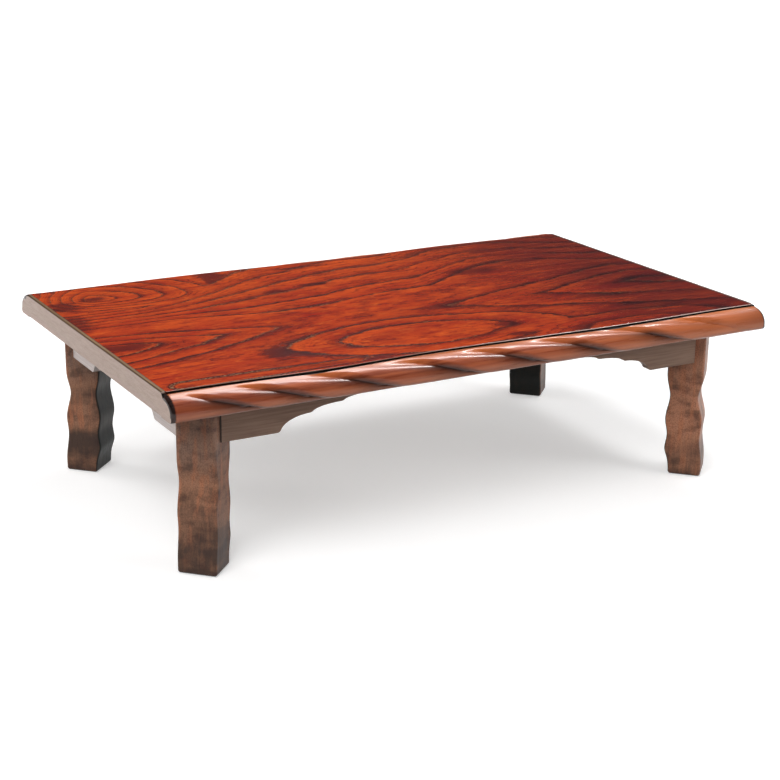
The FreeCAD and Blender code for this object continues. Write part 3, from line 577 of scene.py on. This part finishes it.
# Where the carving and its painted valley shade start and end, along the moulding and round its section. The
# valleys' places are those at CARVE_MIDDLE.
CARVE_LEFT, CARVE_RIGHT = (-0.585, -0.520), (0.46, 0.60)
CARVE_UPPER, CARVE_LOWER = (0.002, 0.018), (0.054, 0.068)
CARVE_MIDDLE = 0.036
VALLEY_SHADE_RIGHT = (0.34, 0.54)
VALLEY_SHADE_UPPER = (0.018, 0.032)
VALLEY_SHADE_POWER = 0.85

# Counts of the mesh: sections along the moulding and in each rounded end, and steps round a section.
STATIONS = 520
END_STATIONS = 8
NOSE_STEPS = 48
ROUND_STEPS = 14
INNER_POINTS = 5
GROOVE_SIDES = 3

GROOVE_LIP = 0.0003
LEAST_GROOVE = 0.0002
SAME_HEIGHT = 1e-4
TINY = 1e-6
SHARP_EDGE = math.radians(40)
MOULDING_FINISHES = ("moulding", "groove", "end_rail")


def front_edge():
    """Places along the front edge of the face sheet, in order of x."""
    line = {}
    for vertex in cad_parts["top_veneer"].data.vertices:
        if vertex.co.y < MOULDING_BACK and vertex.co.z < FACE_BOTTOM + SAME_HEIGHT:
            line[round(vertex.co.x, 5)] = vertex.co.y
    return sorted(line.items())


FRONT_EDGE = front_edge()


def face_edge(x):
    """The y of the front edge of the face sheet at one place along it."""
    if x <= FRONT_EDGE[0][0]:
        return FRONT_EDGE[0][1]
    for (left, start), (right, end) in zip(FRONT_EDGE, FRONT_EDGE[1:]):
        if x <= right:
            return start + (end - start) * (x - left) / (right - left)
    return FRONT_EDGE[-1][1]


def smooth(value, start, end):
    """A smooth step from 0 at start to 1 at end."""
    share = min(max((value - start) / (end - start), 0.0), 1.0)
    return share * share * (3 - 2 * share)


def nose_angle(y):
    """The angle on the nose's ellipse at which its top meets the given y."""
    return math.pi / 2 + math.asin(max(0.0, MOULDING_FRONT + NOSE_DEPTH - y) / NOSE_DEPTH)


def nose_points(groove):
    """The outer line of the section from the groove over the nose to the underside: place and outward."""
    shoulder = NOSE_TOP - NOSE_RISE
    middle = MOULDING_FRONT + NOSE_DEPTH
    first = nose_angle(groove - GROOVE_LIP)
    lip = NOSE_TOP - NOSE_RISE * (1 - math.sin(nose_angle(groove)))
    places = [(Vector((0, groove, lip)), Vector((0, 0, 1)))]
    for i in range(NOSE_STEPS + 1):
        angle = first + (math.pi - first) * i / NOSE_STEPS
        cos, sin = math.cos(angle), math.sin(angle)
        out = Vector((0, cos / NOSE_DEPTH, sin / NOSE_RISE)).normalized()
        places.append((Vector((0, middle + NOSE_DEPTH * cos, shoulder + NOSE_RISE * sin)), out))
    centre = Vector((0, MOULDING_FRONT + NOSE_ROUND, EDGE_BOTTOM + NOSE_ROUND))
    for i in range(1, ROUND_STEPS + 1):
        angle = math.pi * (1 + i / (2 * ROUND_STEPS))
        out = Vector((0, math.cos(angle), math.sin(angle)))
        places.append((centre + out * NOSE_ROUND, out))
    return places


def girths(places):
    """Length round the section from the start of the nose to each of the places."""
    lengths = [MOULDING_FRONT + NOSE_DEPTH - places[0][0].y]
    for (before, _), (place, _) in zip(places, places[1:]):
        lengths.append(lengths[-1] + (place - before).length)
    return lengths


def valley_share(x, girth):
    """1 in the bottom of a valley, 0 on a lobe: steep above the valley, a long hollow below it."""
    at = x - (girth - CARVE_MIDDLE) / math.tan(CARVE_SLOPE)
    for left, right in zip(VALLEYS, VALLEYS[1:]):
        if left <= at <= right:
            phase = (at - left) / (right - left)
            steep = max(0.0, 1 - phase / STEEP_SHARE) ** STEEP_POWER
            long = max(0.0, 1 - (1 - phase) / HOLLOW_SHARE) ** HOLLOW_POWER
            return max(steep, long)
    return 0.0


def carved_share(x, girth):
    """The valleys as they fade out at both ends, at the groove and at the underside."""
    window = smooth(girth, *CARVE_UPPER) * (1 - smooth(girth, *CARVE_LOWER))
    ends = smooth(x, *CARVE_LEFT) * (1 - smooth(x, *CARVE_RIGHT))
    return window * ends * valley_share(x, girth)


def valley_shade_share(x, girth):
    """How much painted shade darkens the carving's valleys."""
    window = smooth(girth, *VALLEY_SHADE_UPPER) * (1 - smooth(x, *VALLEY_SHADE_RIGHT))
    return carved_share(x, girth) ** VALLEY_SHADE_POWER * window


def section(x):
    """The closed section of the front moulding at one place along it."""
    from_end = TABLE_HALF_LENGTH - abs(x)
    inset = 0.0
    if from_end < END_ROUND:
        inset = END_ROUND - math.sqrt(END_ROUND ** 2 - (END_ROUND - from_end) ** 2)
    face = face_edge(x)
    groove = face - GROOVE_WIDTH
    places = nose_points(groove)
    points = []
    for (place, out), girth in zip(places, girths(places)):
        rounded = max(0.0, min(1.0, 1 + out.z))
        moved = place - out * (CARVE_DEPTH * carved_share(x, girth) + inset * rounded)
        points.append(Vector((x, moved.y, moved.z)))
    seat = FACE_BOTTOM if from_end >= TABLE_HALF_LENGTH - FACE_HALF_LENGTH - TINY else NOSE_TOP
    groove_floor = TABLE_TOP - GROOVE_DEPTH
    points.append(Vector((x, MOULDING_BACK, EDGE_BOTTOM)))
    points.append(Vector((x, MOULDING_BACK, seat)))
    points.append(Vector((x, face, seat)))
    points.append(Vector((x, face, groove_floor)))
    points.append(Vector((x, groove, min(groove_floor, points[0].z - LEAST_GROOVE))))
    return points


def section_valley_shade(x):
    """Painted valley shade at the points of the section, none on its INNER_POINTS behind the nose."""
    places = nose_points(face_edge(x) - GROOVE_WIDTH)
    return [valley_shade_share(x, girth) for girth in girths(places)] + [0.0] * INNER_POINTS


def stations():
    """Places along the moulding, closer together in the rounded ends."""
    inner = TABLE_HALF_LENGTH - END_ROUND
    turns = [math.pi / 2 * i / END_STATIONS for i in range(1, END_STATIONS + 1)]
    ends = [inner + END_ROUND * math.sin(turn) for turn in turns]
    middle = [-inner + 2 * inner * i / STATIONS for i in range(STATIONS + 1)]
    return [-x for x in reversed(ends)] + middle + ends


def make_moulding(name, turned):
    """A carved moulding along the front, or turned round to the back."""
    mesh = bpy.data.meshes.new(name)
    build = bmesh.new()
    rows = [[build.verts.new(point) for point in section(x)] for x in stations()]
    for row, following in zip(rows, rows[1:]):
        for i in range(len(row)):
            j = (i + 1) % len(row)
            face = build.faces.new((row[i], row[j], following[j], following[i]))
            finish = "groove" if i >= len(row) - GROOVE_SIDES else "moulding"
            face.material_index = MOULDING_FINISHES.index(finish)
    for cap in (rows[0], reversed(rows[-1])):
        build.faces.new(cap).material_index = MOULDING_FINISHES.index("end_rail")
    if turned:
        build.transform(Matrix.Rotation(math.pi, 4, "Z"))
    bmesh.ops.recalc_face_normals(build, faces=build.faces)
    for face in build.faces:
        face.smooth = True
    for edge in build.edges:
        beside_cap = any(len(face.verts) > 4 for face in edge.link_faces)
        edge.smooth = edge.calc_face_angle(0.0) < SHARP_EDGE and not beside_cap
    build.to_mesh(mesh)
    build.free()
    valley_shade_values = mesh.attributes.new(VALLEY_SHADE_ATTRIBUTE, "FLOAT", "POINT")
    valley_shade_values.data.foreach_set("value", [value for x in stations() for value in section_valley_shade(x)])
    piece = bpy.data.objects.new(name, mesh)
    bpy.context.scene.collection.objects.link(piece)
    for finish in MOULDING_FINISHES:
        mesh.materials.append(FINISHES[finish])
    return piece


for side, turned in (("front", False), ("back", True)):
    carved = make_moulding(f"carved_{side}_moulding", turned)
    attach(carved, "top")
    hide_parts(f"{side}_moulding")


# Stage: a wide pale floor that runs up into a low wall all round.

FLOOR_RADIUS = 14.0
FLOOR_MIDDLE = 2.0
FLOOR_SIDES = 64
WALL_HEIGHT = 1.6
COVE = 1.2
COVE_STEPS = 8
SAME_PLACE = 1e-5

# Two distances from the middle, and how strongly the floor glows at each of them where it is seen; then
# its colour where it is seen, and as it lights the table.
FLOOR_GLOW = (0.9, 3.0, 0.41, 1.0)
FLOOR_SEEN = (0.76, 0.76, 0.76, 1)
FLOOR_LIGHTING = (0.3, 0.3, 0.3, 1)


def smooth_range(tree, limits):
    """A node for a smooth step, with limits as its two ends and the values there."""
    node = tree.nodes.new("ShaderNodeMapRange")
    node.interpolation_type = "SMOOTHSTEP"
    for socket, limit in zip(node.inputs[1:5], limits):
        socket.default_value = limit
    return node


def stage_material():
    """Floor that looks white to the camera and in reflections, keeps the shadow, and is clear from below."""
    material = bpy.data.materials.new("floor")
    material.use_nodes = True
    tree = material.node_tree
    tree.nodes.clear()
    new, link = tree.nodes.new, tree.links.new
    rays = new("ShaderNodeLightPath")
    seen = rays.outputs["Is Camera Ray"]
    for ray in ("Is Glossy Ray", "Is Transmission Ray"):
        either = new("ShaderNodeMath")
        either.operation = "MAXIMUM"
        link(seen, either.inputs[0])
        link(rays.outputs[ray], either.inputs[1])
        seen = either.outputs[0]
    place = new("ShaderNodeTexCoord")
    distance = new("ShaderNodeVectorMath")
    distance.operation = "LENGTH"
    link(place.outputs["Object"], distance.inputs[0])
    glow = smooth_range(tree, FLOOR_GLOW)
    link(distance.outputs["Value"], glow.inputs[0])
    lit = new("ShaderNodeBsdfDiffuse")
    lit.inputs["Color"].default_value = FLOOR_SEEN
    white = new("ShaderNodeEmission")
    link(glow.outputs[0], white.inputs["Strength"])
    both = new("ShaderNodeAddShader")
    link(lit.outputs[0], both.inputs[0])
    link(white.outputs[0], both.inputs[1])
    plain = new("ShaderNodeBsdfDiffuse")
    plain.inputs["Color"].default_value = FLOOR_LIGHTING
    choose = new("ShaderNodeMixShader")
    link(seen, choose.inputs[0])
    link(plain.outputs[0], choose.inputs[1])
    link(both.outputs[0], choose.inputs[2])
    below = new("ShaderNodeMixShader")
    link(new("ShaderNodeNewGeometry").outputs["Backfacing"], below.inputs[0])
    link(choose.outputs[0], below.inputs[1])
    link(new("ShaderNodeBsdfTransparent").outputs[0], below.inputs[2])
    out = new("ShaderNodeOutputMaterial")
    link(below.outputs[0], out.inputs["Surface"])
    return material


def make_stage():
    """The floor and its wall, a profile spun round the middle, with its faces turned inwards."""
    build = bmesh.new()
    profile = [Vector((x, 0, 0)) for x in (0, FLOOR_MIDDLE, FLOOR_RADIUS - COVE)]
    for i in range(1, COVE_STEPS + 1):
        turn = math.pi / 2 * i / COVE_STEPS
        profile.append(Vector((FLOOR_RADIUS - COVE * (1 - math.sin(turn)), 0, COVE * (1 - math.cos(turn)))))
    profile.append(Vector((FLOOR_RADIUS, 0, WALL_HEIGHT)))
    line = [build.verts.new(point) for point in profile]
    edges = [build.edges.new(pair) for pair in zip(line, line[1:])]
    bmesh.ops.spin(build, geom=line + edges, axis=(0, 0, 1), cent=(0, 0, 0), steps=FLOOR_SIDES,
                   angle=2 * math.pi, use_duplicate=False)
    bmesh.ops.remove_doubles(build, verts=build.verts, dist=SAME_PLACE)
    for face in build.faces:
        face.smooth = True
        face.normal_update()
        if face.normal.dot(Vector((0, 0, 1)) - face.calc_center_median() / FLOOR_RADIUS) < 0:
            face.normal_flip()
    mesh = bpy.data.meshes.new("floor")
    build.to_mesh(mesh)
    build.free()
    mesh.materials.append(stage_material())
    floor = bpy.data.objects.new("floor", mesh)
    bpy.context.scene.collection.objects.link(floor)


make_stage()


# Light: softboxes overhead, a wide key at the front left, and low lamps at the back left and in front, none
# of them mirrored in the lacquer, and lamps behind the table that only show as gloss on its front edge.

# Each lamp: name, place, the point it faces, width and height, watts, and whether it only shows as gloss.
LAMPS = (
    ("overhead", (0.35, 0.9, 3.2), (-0.3, -0.3, 0.3), (0.8, 0.9), 34, False),
    ("right", (2.0, 0.1, 3.2), (0.2, -0.3, 0.3), (3.4, 0.25), 42, False),
    ("sheen", (1.3, 2.0, 3.2), (1.3, 2.0, 0), (1.1, 2.2), 68, True),
    ("low_sheen", (1.3, 2.9, 2.4), (-0.5, -0.36, 0.33), (0.9, 0.9), 14, True),
    ("left_sheen", (0.85, 1.5, 3.2), (0.85, 1.5, 0), (0.7, 1.5), 44, True),
    ("strip", (2.1, 1.15, 3.2), (2.1, 1.15, 0), (1.6, 0.3), 84, True),
    ("key", (-2.2, -1.8, 2.6), (0, 0, 0.3), (2.0, 2.0), 92, False),
    ("back_left", (-2.2, 2.6, 0.7), (-0.6, 0, 0.28), (1.2, 0.8), 55, False),
    ("fill", (2.4, -2.6, 1.3), (0.2, -0.3, 0.2), (1.6, 1.0), 34, False),
)


def softbox(name, place, aim, size, power, only_gloss):
    """A rectangular lamp, seen either only in gloss or not in gloss at all."""
    lamp = bpy.data.lights.new(name, "AREA")
    lamp.shape = "RECTANGLE"
    lamp.size, lamp.size_y = size
    lamp.energy = power
    light = bpy.data.objects.new(name, lamp)
    light.location = place
    light.visible_diffuse = not only_gloss
    light.visible_glossy = only_gloss
    light.rotation_euler = (Vector(aim) - Vector(place)).to_track_quat("-Z", "Y").to_euler()
    bpy.context.scene.collection.objects.link(light)


for lamp_row in LAMPS:
    softbox(*lamp_row)


# Two heights of the sky's direction, and its brightness at each of them.
SKY_RISE = (0.35, 0.9, 0.05, 0.30)


def make_world():
    """A dim white sky, brighter overhead."""
    world = bpy.data.worlds.new("studio")
    world.use_nodes = True
    bpy.context.scene.world = world
    tree = world.node_tree
    place = tree.nodes.new("ShaderNodeTexCoord")
    split = tree.nodes.new("ShaderNodeSeparateXYZ")
    tree.links.new(place.outputs["Generated"], split.inputs[0])
    rise = smooth_range(tree, SKY_RISE)
    tree.links.new(split.outputs["Z"], rise.inputs[0])
    background = tree.nodes["Background"]
    background.inputs["Color"].default_value = (1, 1, 1, 1)
    tree.links.new(rise.outputs[0], background.inputs["Strength"])


make_world()


# Camera at the photograph's viewpoint.

CAMERA_TARGET = Vector((-0.01734, -0.03224, 0.1710))
CAMERA_AZIMUTH = math.radians(-29.667)
CAMERA_ELEVATION = math.radians(17.965)
CAMERA_ROLL = math.radians(0.812)
CAMERA_DISTANCE = 3.22997
CAMERA_LENS = 78.41
SENSOR_WIDTH = 36.0
CLIP_END = 100.0


def make_camera():
    """The camera, set by its target, distance, azimuth, elevation and roll."""
    data = bpy.data.cameras.new("camera")
    data.sensor_width = SENSOR_WIDTH
    data.lens = CAMERA_LENS
    data.clip_end = CLIP_END
    camera = bpy.data.objects.new("camera", data)
    cos, sin = math.cos(CAMERA_AZIMUTH), math.sin(CAMERA_AZIMUTH)
    level = math.cos(CAMERA_ELEVATION)
    back = Vector((sin * level, -cos * level, math.sin(CAMERA_ELEVATION)))
    right = Vector((cos, sin, 0))
    turn = Matrix((right, back.cross(right), back)).transposed().to_4x4()
    camera.matrix_world = (Matrix.Translation(CAMERA_TARGET + back * CAMERA_DISTANCE) @ turn
                           @ Matrix.Rotation(CAMERA_ROLL, 4, "Z"))
    bpy.context.scene.collection.objects.link(camera)
    bpy.context.scene.camera = camera


make_camera()
bpy.context.scene.view_settings.view_transform = "Standard"
